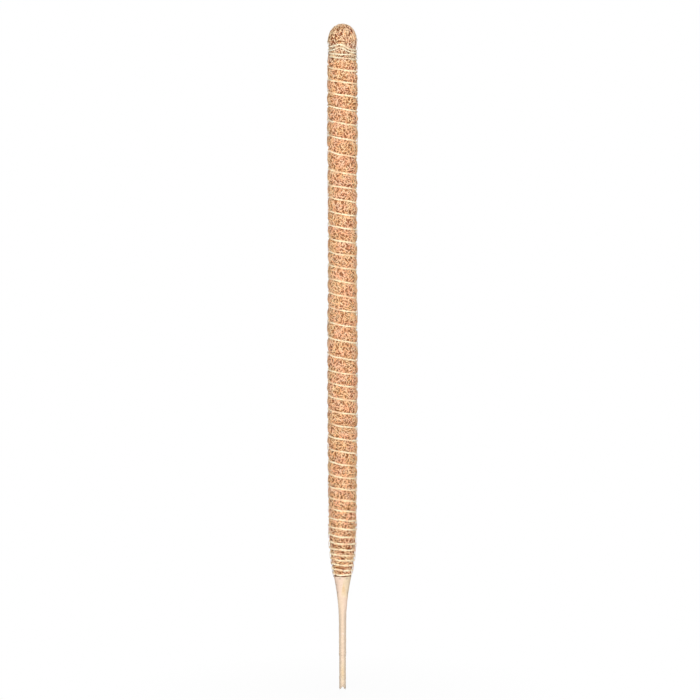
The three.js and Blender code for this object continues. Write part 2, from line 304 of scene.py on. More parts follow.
def outline_radius(z):
    """Radius of the pole over the twine."""
    swell = SWELL * np.sin(TURN * SWELL_WAVES * z / DOME_BASE)
    rise = 1 - (1 - np.clip(z / FOOT_LENGTH, 0, 1)) ** FOOT_POWER
    return FOOT_RADIUS + (BOUND_RADIUS - swell - FOOT_RADIUS) * rise


def unit(vectors):
    """Vectors brought to a length of 1."""
    return vectors / np.linalg.norm(vectors, axis=-1, keepdims=True)


def round_axis(radius, angle, z):
    """Points at a radius and an angle round the axis, as an array of three columns."""
    return np.stack(np.broadcast_arrays(radius * np.cos(angle), radius * np.sin(angle), z), axis=-1)


def twine_angle(turns):
    """Angle round the pole; a turn starts and ends behind it."""
    return TURN * (turns + BACK_SHARE)


def share_round(angle):
    """The share of a turn of twine that is done at an angle round the pole."""
    return (angle / TURN - BACK_SHARE) % 1


TURN_TABLE = np.linspace(0, TOTAL_TURNS, TABLE_STEPS)
HEIGHT_TABLE = even_height(TURN_TABLE)
print(f"twine: {TOTAL_TURNS:.0f} turns, from {TIE_START / MM:.1f} mm down to {HEIGHT_TABLE[-1] / MM:.2f} mm")

# %% [markdown]
# ## The skin of the coir
#
# Between the turns the coir bulges, and under each turn it is pressed in. The skin below gives its radius
# at any height and angle. The mat and every fibre take their place from it, so nothing needs fitting
# afterwards.

# %% Describe the skin
SEAT = 0.758 * MM  # groove floor below the twine's centre
GROOVE_DEPTH = 1.15 * MM
GROOVE_SHARE = 0.2  # of the height from turn to turn, where that is less
LEAST_BULGE = 0.55 * MM  # coir stands up between close turns too
BULGE_POWER = 0.75
LAST_BULGE_RISE = 4  # the coir under the last turn is full after a quarter turn
ARCH_END = TIE_START - 4 * TIE_PITCH  # above this the grooves take up the tie's arch
ARCH_FADE = 2 * TIE_PITCH
DOME_TRIM = 0.45 * MM  # left for the fibres


def turn_pitch(turns):
    """Height from one turn of the twine to the next."""
    return np.abs(even_height(turns - 0.5) - even_height(turns + 0.5))


def groove_depth(turns):
    """A groove is shallower where the turns lie close."""
    return np.clip(GROOVE_SHARE * turn_pitch(turns), LEAST_BULGE, GROOVE_DEPTH)


def skin_radius(z, angle):
    """Radius of the coir, pressed in under the twine and full between its turns."""
    around = share_round(angle)
    level = z - tie_arch(around) * np.clip((z - ARCH_END) / ARCH_FADE, 0, 1)
    turns = np.interp(-level, -HEIGHT_TABLE, TURN_TABLE)
    passed = turns - around
    last = np.floor(TOTAL_TURNS - around)
    share = passed % 1
    bulge = groove_depth(turns) * np.sin(math.pi * share) ** BULGE_POWER
    floor_radius = outline_radius(z) - TWINE_RADIUS - SEAT
    first_height = even_height(around)
    to_dome = np.clip((level - first_height) / (DOME_BASE - first_height), 0, 1)
    shoulder = floor_radius + (DOME_RADIUS - DOME_TRIM - floor_radius) * np.sqrt(to_dome * (2 - to_dome))
    under = floor_radius + np.clip((passed - last) * LAST_BULGE_RISE, 0, 1) * LEAST_BULGE
    return np.where(passed < 0, shoulder, np.where(passed > last, under, floor_radius + bulge))


def on_skin(points, lift, bridge=-1):
    """The points moved on to the skin and raised by the lift, and the way out from the skin there.

    With a bridge they stay that far outside the twine's own outline instead of dipping under it.
    """
    dome_centre = np.array((0, 0, DOME_BASE))
    angle = np.arctan2(points[..., 1], points[..., 0])
    z = points[..., 2]
    out_tube = round_axis(1, angle, 0 * z)
    tube = round_axis(np.maximum(skin_radius(z, angle) + lift, outline_radius(z) + bridge), angle, z)
    dome_axes = np.array((DOME_RADIUS, DOME_RADIUS, DOME_HEIGHT))
    from_centre = unit((points - dome_centre) / dome_axes)
    out_dome = unit(from_centre / dome_axes)
    dome = dome_centre + from_centre * dome_axes + out_dome * (lift - DOME_TRIM)[..., None]
    on_dome = (z > DOME_BASE)[..., None]
    return np.where(on_dome, dome, tube), np.where(on_dome, out_dome, out_tube)


middle_radius = skin_radius(np.array(cad_high.z / 2), np.array(0))
print("skin at mid height:", round(float(middle_radius) / MM, 2), "mm")

# %% [markdown]
# ## Rolling a sheet into a tube
#
# The mat and the tapes are sheets wound round the pole, so each starts as a flat grid that is rolled up:
# one side of the grid goes round the axis and the other along it. The seam is merged where the edges meet.

# %% Roll up a grid
MERGE_DISTANCE = 0.002 * MM


def point_array(piece):
    """The points of a mesh as an array of three columns."""
    points = np.empty(len(piece.data.vertices) * 3)
    piece.data.vertices.foreach_get("co", points)
    return points.reshape(-1, 3)


def select_only(piece):
    """Makes one object the only selected and active one."""
    bpy.ops.object.select_all(action="DESELECT")
    piece.select_set(True)
    bpy.context.view_layer.objects.active = piece


def roll_up(name, columns, rows, place, merge=True):
    """A grid whose points go where place(round, along) says, both from 0 to 1."""
    bpy.ops.object.select_all(action="DESELECT")
    bpy.ops.mesh.primitive_grid_add(x_subdivisions=columns, y_subdivisions=rows, size=1)
    piece = bpy.context.object
    piece.name = name
    piece.data.name = name
    piece.data.uv_layers[0].name = "OFBake"
    flat = point_array(piece)
    placed = place(flat[:, 0] + 0.5, 0.5 - flat[:, 1])
    piece.data.vertices.foreach_set("co", placed.ravel())
    piece.data.update()
    select_only(piece)
    bpy.ops.object.mode_set(mode="EDIT")
    bpy.ops.mesh.select_all(action="SELECT")
    if merge:
        bpy.ops.mesh.remove_doubles(threshold=MERGE_DISTANCE)
    bpy.ops.mesh.normals_make_consistent(inside=False)
    bpy.ops.object.mode_set(mode="OBJECT")
    bpy.ops.object.shade_smooth()
    return piece


def thicken(piece, thickness):
    """Gives a rolled sheet its thickness, inwards."""
    select_only(piece)
    wall = piece.modifiers.new("thickness", "SOLIDIFY")
    wall.thickness = thickness
    wall.offset = -1
    bpy.ops.object.modifier_apply(modifier=wall.name)


def lumps(seed, count, shortest, longest):
    """A smooth field over space, about -1 to 1, made of waves of many directions and lengths."""
    draw = np.random.default_rng(seed)
    ways = unit(draw.normal(size=(count, 3)))
    waves = TURN * ways / np.exp(draw.uniform(math.log(shortest), math.log(longest), count))[:, None]
    phases = draw.uniform(0, TURN, count)
    return lambda points: np.sin(points @ waves.T + phases).sum(axis=-1) * math.sqrt(2 / count)


# %% [markdown]
# ## The coir mat
#
# Under the curled fibres lies the imported body of the mat. It shows only in the gaps, and its dark colour is
# painted shade for those hollows.
# It is a rolled grid that follows the skin a little deeper, with small lumps. It goes on under the neck tape.

# %% Roll the mat
MAT_COLUMNS = 72
MAT_ROWS = 400
MAT_DEPTH = 0.5 * MM
MAT_LUMP = 0.12 * MM
MAT_END = -5 * MM
MAT_END_RADIUS = 2.2 * MM
DOME_SHARE = 0.06  # share of the rows that cover the dome
TAIL_INSET = 1.2 * MM  # of the mat's tail, where it goes in under the neck tape
mat_lumps = lumps(seed=11, count=40, shortest=1.2 * MM, longest=4 * MM)


def mat_place(round_share, along):
    """The dome first, from its top, and then the tube down to its tail."""
    angle = TURN * round_share
    depth = -MAT_DEPTH + 0 * angle
    tilt = np.clip(along / DOME_SHARE, 0, 1) * math.pi / 2
    down = np.clip((along - DOME_SHARE) / (1 - DOME_SHARE), 0, 1)
    on_dome = DOME_BASE + DOME_HEIGHT * np.cos(tilt)
    z = np.where(along < DOME_SHARE, on_dome, DOME_BASE + (MAT_END - DOME_BASE) * down)
    flat = round_axis(DOME_RADIUS * np.sin(tilt), angle, z)
    points, out = on_skin(flat, depth)
    points += out * (MAT_LUMP * mat_lumps(points))[:, None]
    tail = z < 0
    tail_start = FOOT_RADIUS - TAIL_INSET
    tail_radius = tail_start + (MAT_END_RADIUS - tail_start) * np.clip(z / MAT_END, 0, 1)
    points[tail] = round_axis(tail_radius, angle, z)[tail]
    points[along == 0] = (0, 0, cad_high.z - DOME_TRIM - MAT_DEPTH)
    return points


coir_mat = roll_up("coir_mat", MAT_COLUMNS, MAT_ROWS, mat_place)
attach(coir_mat, "root")
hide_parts("outer_coir_mat")
print("coir mat:", len(coir_mat.data.polygons), "faces")

# %% [markdown]
# ## Curled fibres
#
# Coir is stiff coconut hair that was curled before it was matted, so it shows as short worm-like strokes
# that dive under each other. Hair particles would lie too straight. Instead each fibre walks over the skin,
# turning left and right as it goes, while it rises and dips, and ends under its neighbours. All fibres of a
# layer are splines of one curve object, which gets its thickness from a bevel and is then made a mesh.

# %% Turn lines into strands
STRAND_SIDES = 4
CELL_STRETCH = 8  # cells down the texture map for each one across it
MARGIN_ALONG = 0.04  # of a cell
MARGIN_AROUND = 0.1


def make_strands(name, lines, radii, bevel_steps=0):
    """One mesh of round strands along lines of points, with a radius at every point and open ends."""
    curve = bpy.data.curves.new(name, "CURVE")
    curve.dimensions = "3D"
    curve.bevel_depth = 1
    curve.bevel_resolution = bevel_steps
    for line, radius in zip(lines, radii):
        spline = curve.splines.new("POLY")
        spline.points.add(len(line) - 1)
        spline.points.foreach_set("co", np.column_stack([line, np.ones(len(line))]).ravel())
        spline.points.foreach_set("radius", np.ascontiguousarray(radius))
    piece = bpy.data.objects.new(name, curve)
    bpy.context.scene.collection.objects.link(piece)
    select_only(piece)
    bpy.ops.object.convert(target="MESH")
    piece = bpy.context.object
    piece.data.name = name
    bpy.ops.object.shade_smooth()
    return piece


def spread_map(piece, points, sides, run):
    """A texture map in which each run of a strand has a cell of its own."""
    mesh = piece.data
    corners = np.empty(len(mesh.loops), dtype=np.int64)
    mesh.loops.foreach_get("vertex_index", corners)
    corners = corners.reshape(-1, 4)
    along = corners // sides % points
    around = corners % sides
    around = np.where((np.ptp(around, axis=1) > 1)[:, None] & (around == 0), sides, around)
    run_of_face = along.min(axis=1, keepdims=True) // run
    runs = -(-points // run)
    cell = corners[:, :1] // (sides * points) * runs + run_of_face
    cells = int(cell.max()) + 1
    across = max(1, round(math.sqrt(cells / CELL_STRETCH)))
    down = -(-cells // across)
    along_share = (along - run_of_face * run) / run
    u = (cell % across + MARGIN_ALONG + (1 - 2 * MARGIN_ALONG) * along_share) / across
    v = (cell // across + MARGIN_AROUND + (1 - 2 * MARGIN_AROUND) * around / sides) / down
    while mesh.uv_layers:
        mesh.uv_layers.remove(mesh.uv_layers[0])
    layer = mesh.uv_layers.new(name="OFBake")
    layer.data.foreach_set("uv", np.stack([u, v], axis=-1).ravel())


def close_ends(piece):
    """Closes the open ends of strands."""
    select_only(piece)
    bpy.ops.object.mode_set(mode="EDIT")
    bpy.ops.mesh.select_all(action="SELECT")
    bpy.ops.mesh.fill_holes(sides=0)
    bpy.ops.object.mode_set(mode="OBJECT")


def give_tone(piece, tones, name="tone"):
    """A value at every point of a mesh; as a tone it goes from 0, dark, to 1, light."""
    attribute = piece.data.attributes.new(name, "FLOAT", "POINT")
    attribute.data.foreach_set("value", np.ascontiguousarray(tones, dtype=np.float32).ravel())


# %% Walk the fibres over the skin
FIBRE_POINTS = 5
FOOT_MARGIN = 1 * MM
COMB = 1.5  # how strongly the fibres of the dome lie along its curve to the top
GOLDEN_ANGLE = math.pi * (3 - math.sqrt(5))  # spreads the fibres evenly, as seeds in a flower head
NEAR_TOP = 0.999  # of the dome's height, as nothing lies flat at its very top
ALMOST_UP = np.array((0.001, 0, 1))
START_SHARES = (0.35, 0.65)  # of a fibre's length, from its start to its place
TIP_ANGLE = 0.12  # keeps the tips from tapering to nothing
TIP_PAINTED_SHADE = 0.55  # painted shade: how much darker a fibre is at its tips, which dive under its neighbours
PLAIN_TONE = 0.6
DOME_EDGE = TIE_START - TIE_TURNS * TIE_PITCH
DOME_BLEND = 1 * MM
DOME_THINNING = 0.05  # on the dome and the foot the fibres are finer
DOME_SPREAD = 2.4  # and differ more in tone
# painted light: the fibres of the dome and the tie get lighter tones
DOME_PAINTED_LIGHT = 0.17
FOOT_EDGE = 19 * MM
FOOT_BLEND = 4 * MM
FOOT_THINNING = 0.15
FOOT_SPREAD = 0.9
LAST_TURNS_PAINTED_SHADE = 0.3  # painted shade in the coir between the last close turns of the twine
LAST_EDGE = 6.5 * MM
LAST_BLEND = 1.5 * MM
# painted shade in the coir just above each turn of the twine
TWINE_PAINTED_SHADE = 0.14
SHADE_HEIGHT = 1.1 * MM  # painted shade is darkest this far above the middle of a turn
SHADE_WIDTH = 0.5 * MM


def flatten(heading, out):
    """Headings laid flat on the skin, with a length of 1."""
    return unit(heading - out * (heading * out).sum(axis=1, keepdims=True))


def walk_fibres(draw, count, length, curl, wave, lift, arch, bridge=-1):
    """Lines of points on the skin. Each pair is the least and the most of a value drawn for each fibre."""
    order = np.arange(count) + 0.5
    z = order / count * cad_high.z
    on_dome = np.clip((z - DOME_BASE) / DOME_HEIGHT, 0, NEAR_TOP)
    place, out = on_skin(round_axis(DOME_RADIUS * np.sqrt(1 - on_dome**2), GOLDEN_ANGLE * order, z), 0 * z)
    heading = flatten(draw.normal(size=(count, 3)), out)
    to_top = flatten(ALMOST_UP + 0 * out, out) * (on_dome > 0)[:, None]
    heading += COMB * np.sign(heading[:, 2:]) * to_top
    reach = draw.uniform(*length, count)
    place = place - flatten(heading, out) * (reach * draw.uniform(*START_SHARES, count))[:, None]
    place[:, 2] = np.maximum(place[:, 2], FOOT_MARGIN)
    stride = reach / (FIBRE_POINTS - 1)
    bend = draw.uniform(*curl, count) * draw.choice((-1, 1), count)
    wave_step = stride / draw.uniform(*wave, count) * TURN
    bend_phase = draw.uniform(0, TURN, count)
    base_lift = draw.uniform(*lift, count)
    lines = np.empty((count, FIBRE_POINTS, 3))
    for step in range(FIBRE_POINTS):
        place, out = on_skin(place, 0 * z)
        heading = flatten(heading, out)
        rise = arch * (math.sin(math.pi * step / (FIBRE_POINTS - 1)) - 1)
        lines[:, step] = on_skin(place, base_lift + rise, bridge)[0]
        turn_by = (bend * np.sin(bend_phase + wave_step * step) * stride)[:, None]
        heading = heading * np.cos(turn_by) + np.cross(out, heading) * np.sin(turn_by)
        heading[:, 2] = np.where(place[:, 2] < FOOT_MARGIN, np.abs(heading[:, 2]), heading[:, 2])
        place = place + heading * stride[:, None]
    return lines


def painted_shade_above_twine(points):
    """1 where painted shade darkens the coir just above a turn of the twine, and 0 away from it."""
    around = share_round(np.arctan2(points[..., 1], points[..., 0]))
    turns = np.interp(-points[..., 2], -HEIGHT_TABLE, TURN_TABLE)
    above = (1 - (turns - around) % 1) * turn_pitch(turns)
    return np.where(turns > TIE_TURNS, ridge(above, SHADE_HEIGHT, SHADE_WIDTH), 0)


def coir_layer(name, seed, count, thickness, tone, **walk):
    """A layer of curled fibres, thinner at their ends, and darker there with painted shade, as the ends lie
    under their neighbours.
    """
    draw = np.random.default_rng(seed)
    lines = walk_fibres(draw, count, **walk)
    heights = lines[:, :, 2]
    middle = np.sqrt(np.sin(np.linspace(TIP_ANGLE, math.pi - TIP_ANGLE, FIBRE_POINTS)))
    dome_share = soft_step(heights, DOME_EDGE, DOME_BLEND)
    foot_share = soft_step(FOOT_EDGE, heights, FOOT_BLEND)
    thinning = DOME_THINNING * dome_share + FOOT_THINNING * foot_share
    radii = draw.uniform(*thickness, (count, 1)) / 2 * middle * (1 - thinning)
    # painted shade at each fibre's tips
    tones = draw.uniform(*tone, (count, 1)) + TIP_PAINTED_SHADE * (middle - 1)
    tones += (DOME_SPREAD * dome_share + FOOT_SPREAD * foot_share) * (tones - PLAIN_TONE)
    # painted light on the dome and the tie
    # painted shade just above each turn of the twine
    tones += DOME_PAINTED_LIGHT * dome_share - TWINE_PAINTED_SHADE * painted_shade_above_twine(lines)
    # painted shade in the gaps between the last close turns
    tones -= LAST_TURNS_PAINTED_SHADE * soft_step(LAST_EDGE, heights, LAST_BLEND)
    layer = make_strands(name, lines, radii)
    spread_map(layer, FIBRE_POINTS, STRAND_SIDES, FIBRE_POINTS)
    give_tone(layer, np.repeat(tones, STRAND_SIDES, axis=1))
    close_ends(layer)
    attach(layer, "root")
    print(f"{name}: {count} fibres, {len(layer.data.polygons)} faces")
    return layer


def span(low, high):
    """The least and the most of a length, from millimetres."""
    return low * MM, high * MM


# the deeper a layer lies, the darker its tones: painted shade between the fibres above it
coir_layers = [
    coir_layer(
        "deep_fibres", 21, 2600, thickness=span(0.38, 0.5), tone=(-0.1, 0.2),
        length=span(4, 7), curl=(200, 600), wave=span(4, 9),
        lift=span(-0.35, -0.2), arch=0.15 * MM,
    ),
    coir_layer(
        "middle_fibres", 22, 4400, thickness=span(0.34, 0.44), tone=(0.15, 0.85),
        length=span(2, 4.5), curl=(300, 900), wave=span(3, 7),
        lift=span(-0.2, -0.05), arch=0.25 * MM,
    ),
    coir_layer(
        "upper_fibres", 23, 5000, thickness=span(0.34, 0.44), tone=(0.4, 1.1),
        length=span(1.2, 3), curl=(400, 1200), wave=span(2, 4),
        lift=span(-0.05, 0.1), arch=0.3 * MM,
    ),
    coir_layer(
        "top_fibres", 25, 4500, thickness=span(0.32, 0.42), tone=(0.55, 1.25),
        length=span(1, 2.4), curl=(400, 1200), wave=span(2, 4),
        lift=span(0.08, 0.2), arch=0.3 * MM,
    ),
    coir_layer(
        "stray_hairs", 24, 500, thickness=span(0.14, 0.24), tone=(0.5, 1),
        length=span(3, 10), curl=(80, 400), wave=span(5, 14),
        lift=span(0.15, 0.3), arch=0.2 * MM, bridge=0,
    ),
]

# %% [markdown]
# ## The coir core
#
# Inside the mat a first layer of coir is rolled tight on the wire. Nobody sees it unless the pole is cut
# open, so a spiral sheet with its own thickness is enough.

# %% Roll the core
CORE_TURNS = 3
CORE_SHEET = 0.5 * MM
CORE_INNER = 1.7 * MM
CORE_COLUMNS = 72
CORE_ROWS = 24
core_low, core_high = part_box("inner_coir_roll")


def core_place(round_share, along):
    """A spiral sheet from the wire out to the roll's own radius."""
    radius = CORE_INNER + (core_high.x - CORE_INNER) * round_share
    z = core_high.z + (core_low.z - core_high.z) * along
    return round_axis(radius, TURN * CORE_TURNS * round_share, z)


coir_core = roll_up("coir_core", CORE_COLUMNS, CORE_ROWS, core_place, merge=False)
thicken(coir_core, CORE_SHEET)
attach(coir_core, "root")
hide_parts("inner_coir_roll")
print("coir core:", len(coir_core.data.polygons), "faces")

# %% [markdown]
# ## The binding twine
#
# The twine is two plies laid round each other. Each ply is a thin tube that circles the twine's route, half
# a turn behind the other. A single tube with a bump would look smooth at its edges, so the plies are real.

# %% Lay the plies
PLY_RADIUS = 0.25 * MM
TIE_PLY_RADIUS = 0.2 * MM  # pulled tighter round the top
FOOT_PLY_RADIUS = 0.29 * MM  # and spread a little at the foot
FOOT_PLY_TURNS = 9
FOOT_PLY_BLEND = 2  # turns
PLY_OFFSET = 0.18 * MM
LAY_LENGTH = 3 * MM
TWINE_STEPS = 96  # points along one turn
PLY_SIDES = 6
WANDER = 0.1 * MM
SINK = 0.06 * MM  # the twine lies this much deeper here and there
UNEVEN = 0.15  # share by which the hand-spun plies are thicker and thinner
TWINE_TONE = 0.68
TWINE_TONE_SWING = 0.36

twine_points = int(TOTAL_TURNS * TWINE_STEPS) + 1
turns = np.linspace(0, TOTAL_TURNS, twine_points)
twine_draw = np.random.default_rng(31)


def waver(*rates):
    """A smooth line along the twine, about -1 to 1, made of a few waves, each so many to a turn."""
    return sum(np.sin(TURN * turns * rate + twine_draw.uniform(0, TURN)) for rate in rates) / 2


height = even_height(turns) + tie_arch(turns) + WANDER * waver(1.31, 2.17, 3.73, 5.3)
angle = twine_angle(turns)
sink = SINK * (1 + waver(0.73, 1.87, 2.9, 4.6)) / 2
route = round_axis(outline_radius(height) - TWINE_RADIUS - sink, angle, height)
forward = unit(np.gradient(route, axis=0))
outward = round_axis(1, angle, 0 * angle)
sideways = np.cross(forward, outward)
travel = np.concatenate([[0], np.cumsum(np.linalg.norm(np.diff(route, axis=0), axis=1))])
plies = []
for half in (0, math.pi):
    spin = TURN * travel / LAY_LENGTH + half
    plies.append(route + PLY_OFFSET * (np.cos(spin)[:, None] * outward + np.sin(spin)[:, None] * sideways))
at_foot = soft_step(turns, TOTAL_TURNS - FOOT_PLY_TURNS, FOOT_PLY_BLEND)
open_radius = PLY_RADIUS + (FOOT_PLY_RADIUS - PLY_RADIUS) * at_foot
plain_radius = np.where(turns < TIE_TURNS, TIE_PLY_RADIUS, open_radius)
ply_radius = plain_radius * (1 + UNEVEN * waver(3.1, 5.9, 8.3, 12.7))
binding_twine = make_strands("binding_twine", plies, [ply_radius, ply_radius], bevel_steps=1)
spread_map(binding_twine, twine_points, PLY_SIDES, TWINE_STEPS)
twine_tone = TWINE_TONE + TWINE_TONE_SWING * waver(1.13, 2.41, 4.3, 6.7)
give_tone(binding_twine, np.repeat(np.tile(twine_tone, 2), PLY_SIDES))
close_ends(binding_twine)
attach(binding_twine, "root")
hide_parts("binding_twine_upper", "binding_twine_lower")
print(f"twine: {travel[-1]:.2f} m, {len(binding_twine.data.polygons)} faces")

# %% [markdown]
# ## The knots
#
# The twine's two ends are knotted behind the pole. A knot is a closed loop that passes through itself three
# times, pulled small, with a short cut end beside it.

# %% Tie the knots
KNOT_POINTS = 48
KNOT_SIZE = 0.34 * MM
KNOT_STRAND = 0.3 * MM
KNOT_WIDTH = 0.8  # to its length
KNOT_HEIGHT = 1.1
KNOT_TONE = 0.8
TAIL_LENGTH = 3.2 * MM
TAIL_POINTS = 8
TAIL_STRAND = 0.36 * MM
TAIL_SWING = 1.6 * MM  # to the side
TAIL_DIP = 0.3 * MM


def tie_knot(name, node, along):
    """A small knot where a CAD knot is, with a tail that goes on along the skin."""
    low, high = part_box(node)
    centre = np.array((low + high) / 2)
    out = unit(np.array((centre[0], centre[1], 0)))
    side = np.cross(along, out)
    around = np.linspace(0, TURN, KNOT_POINTS, endpoint=False)
    first = np.sin(around) + 2 * np.sin(2 * around)
    second = np.cos(around) - 2 * np.cos(2 * around)
    third = -np.sin(3 * around)
    loop = centre + KNOT_SIZE * (
        first[:, None] * along + second[:, None] * side * KNOT_WIDTH + third[:, None] * out * KNOT_HEIGHT
    )
    loop = np.vstack([loop, loop[:2]])
    reach = np.linspace(0, 1, TAIL_POINTS)[:, None]
    tail = centre + TAIL_LENGTH * reach * along + TAIL_SWING * reach**2 * side - TAIL_DIP * reach * out
    radii = [np.full(len(loop), KNOT_STRAND), np.full(len(tail), TAIL_STRAND)]
    knot = make_strands(name, [loop, tail], radii, bevel_steps=2)
    give_tone(knot, np.full(len(knot.data.vertices), KNOT_TONE))
    close_ends(knot)
    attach(knot, "root")
    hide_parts(node)
    print(name, "at", [round(value / MM, 1) for value in centre], "mm")
    return knot


knots = [
    tie_knot("top_twine_knot", "top_knot", -forward[0]),
    tie_knot("bottom_twine_knot", "bottom_knot", forward[-1]),
]

# %% [markdown]
# ## The neck tape
#
# Cream paper tape flares from the stake over the coir's foot. It was pulled tight round a cone, so its rim
# has small gathers, and two folds of it meet in a point down the front. The rolled grid takes the folds as
# small changes of radius, and Solidify gives the paper its thickness.

# %% Wrap the neck
neck_low, neck_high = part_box("neck_tape")
stake_low, stake_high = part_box("stake_tape")
STAKE_RADIUS = stake_high.y
HALF_SPACING = stake_high.x - stake_high.y
TAPE_THICKNESS = 0.1 * MM
TAPE_GAP = 0.06 * MM
EDGE_SOFTNESS = 0.05 * MM  # of a step where one layer of tape ends on another
SLEEVE_RADIUS = STAKE_RADIUS + TAPE_GAP + TAPE_THICKNESS
NECK_RADIUS = neck_high.x
NECK_LENGTH = 22 * MM
NECK_POWER = 2
NECK_COLUMNS = 128
NECK_ROWS = 150


def flat_sided(round_share, stretch, radius):
    """A round section drawn out along X, by its length round from the middle of the back."""
    length = round_share * (4 * stretch + TURN * radius)
    bow = math.pi * radius
    ends = np.clip(length - stretch, 0, bow) + np.clip(length - 3 * stretch - bow, 0, bow)
    angle = math.pi / 2 + ends / radius
    shift = np.clip(length - stretch - bow, 0, 2 * stretch)
    shift = shift - np.clip(length, 0, stretch) - np.clip(length - 3 * stretch - 2 * bow, 0, stretch)
    return radius * np.cos(angle) + shift, radius * np.sin(angle)


FOLD_TOP = -1.6 * MM
FOLD_END = -9.8 * MM
FOLD_MIDDLE = 0.5 * MM  # the fold lies a little to the right of the middle
FOLD_WIDTH = 1.3 * MM
FOLD_DEPTH = 0.14 * MM
FOLD_SOFTNESS = 0.15 * MM
DENT_SIZE = 0.45 * MM
DENT_DEPTH = 0.16 * MM
DENTS = tuple((x * MM, z * MM) for x, z in (
    (-1.35, -0.95), (1.9, -0.95), (-3.1, -4.1), (-2.5, -7.7), (2.5, -7.7),
))  # pinches on the front
# painted shade in the pinches on the front
DENT_PAINTED_SHADE = 0.9
GATHERS = 17
GATHER_DRIFT = 2  # radians, as gathers are never even
GATHER_DRIFT_WAVES = 3
GATHER_DEPTH = 0.05 * MM
GATHER_REACH = 3 * MM
RIM_WAVES = 5
RIM_WAVE_HEIGHT = 0.08 * MM
RIM_PHASE = 1
RIM_FADE = 60  # how fast the waves of the rim die out along the tape
LAP_EDGE = -26.5 * MM  # a second layer of tape ends here
LAP_STEP = 0.04 * MM
# painted highlight along the edge where the second layer of tape ends
LAP_PAINTED_HIGHLIGHT = 0.4
LAP_LIGHT_REACH = 0.5 * MM
SLEEVE_PRESS = 0.05 * MM  # the sleeve's last bit is pressed to the stake
PRESS_HEIGHT = 0.4 * MM
NECK_LUMP = 0.025 * MM
SLEEVE_LOOK_TOP = -15.4 * MM  # below this the neck gets the stake's painted side shade
SLEEVE_LOOK_BLEND = 4 * MM
PLAIN_BLUSH = 0.4  # the paper's tint, from yellowish at 0 to pinkish and pale
FLARE_BLUSH = 0.6  # more, on the left of the flare
LOW_BLUSH = 0.6  # more, below the fold
LOW_LEFT_BLUSH = 0.3  # less, below the fold on the left
LEFT_BLEND = 0.5 * MM
LOW_BLEND = 1.5 * MM
SIDE_MIDDLE = 1.05 * MM  # painted shade on the stake is darkest this far from its middle
SIDE_WIDTH = 0.5 * MM
paper_lumps = lumps(seed=41, count=24, shortest=1.5 * MM, longest=6 * MM)


def front_fold(x, y, z):
    """1 in the pointed hollow between two folds on the front, and 0 outside it."""
    down = np.clip((FOLD_TOP - z) / (FOLD_TOP - FOLD_END), 0, 1)
    inside = soft_step(FOLD_WIDTH * down, np.abs(x - FOLD_MIDDLE), FOLD_SOFTNESS)
    return np.where(y < 0, inside * np.sin(math.pi * down), 0)


def front_dents(x, y, z):
    """1 in the middle of each pinch on the front, and 0 away from them."""
    spots = sum(ridge(x, dent_x, DENT_SIZE) * ridge(z, dent_z, DENT_SIZE) for dent_x, dent_z in DENTS)
    return np.where(y < 0, spots, 0)


def neck_place(round_share, along):
    """The flare, its gathers and folds, and the sleeve on the stake."""
    z = neck_high.z + (neck_low.z - neck_high.z) * along
    share = np.clip(-z / NECK_LENGTH, 0, 1)
    narrow = HALF_SPACING + SLEEVE_RADIUS
    half_width = narrow + (NECK_RADIUS - narrow) * (1 - share) ** NECK_POWER
    stretch = HALF_SPACING * share
    radius = half_width - stretch
    x, y = flat_sided(round_share, stretch, radius)
    around = TURN * round_share
    drift = GATHER_DRIFT * np.sin(GATHER_DRIFT_WAVES * around)
    gathers = np.sin(GATHERS * around + drift) * np.exp((z - neck_high.z) / GATHER_REACH)
    radius = radius + GATHER_DEPTH * gathers - FOLD_DEPTH * front_fold(x, y, z)
    radius -= DENT_DEPTH * front_dents(x, y, z)
    radius -= LAP_STEP * soft_step(LAP_EDGE, z, EDGE_SOFTNESS)
    radius -= SLEEVE_PRESS * soft_step(neck_low.z + PRESS_HEIGHT, z, PRESS_HEIGHT / 2)
    radius += NECK_LUMP * paper_lumps(np.stack([x, y, z], axis=-1))
    x, y = flat_sided(round_share, stretch, radius)
    rim = RIM_WAVE_HEIGHT * np.sin(RIM_WAVES * around + RIM_PHASE) * np.exp(-along * RIM_FADE)
    return np.stack([x, y, z + rim], axis=-1)


def painted_side_shade(x):
    """Painted shade on the sides of the stake, which turn away from the light, away from the bright middle of
    its front.
    """
    return ridge(np.abs(x), SIDE_MIDDLE, SIDE_WIDTH)


neck_wrap = roll_up("neck_wrap", NECK_COLUMNS, NECK_ROWS, neck_place)
thicken(neck_wrap, TAPE_THICKNESS)
neck_points = point_array(neck_wrap).T
neck_across, _, neck_heights = neck_points
# on the sleeve the neck's sides get painted shade too
on_sleeve = soft_step(SLEEVE_LOOK_TOP, neck_heights, SLEEVE_LOOK_BLEND)
# painted shade in the front pinches
give_tone(neck_wrap, 1 - DENT_PAINTED_SHADE * front_dents(*neck_points) - on_sleeve * painted_side_shade(neck_across))
to_left = soft_step(FOLD_MIDDLE, neck_across, LEFT_BLEND)
above_fold = soft_step(neck_heights, FOLD_END, LOW_BLEND)
low_blush = LOW_BLUSH - LOW_LEFT_BLUSH * to_left
neck_blush = PLAIN_BLUSH + FLARE_BLUSH * above_fold * to_left + (1 - above_fold) * low_blush
# painted highlight on the lap's edge
lap_painted_highlight = LAP_PAINTED_HIGHLIGHT * ridge(neck_heights, LAP_EDGE, LAP_LIGHT_REACH)
# inside the front fold the blush falls to its darkest tan: painted shade in the fold's hollow
give_tone(neck_wrap, neck_blush * (1 - front_fold(*neck_points)) + lap_painted_highlight, "blush")
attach(neck_wrap, "root")
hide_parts("neck_tape")
print("neck wrap:", len(neck_wrap.data.polygons), "faces, down to", round(neck_low.z / MM, 1), "mm")

# %% [markdown]
# ## The stake tape
#
# The same paper is wound round both legs of the wire, so the stake has a flat front and round sides. Near
# the tip a last narrow band holds the end of the tape.

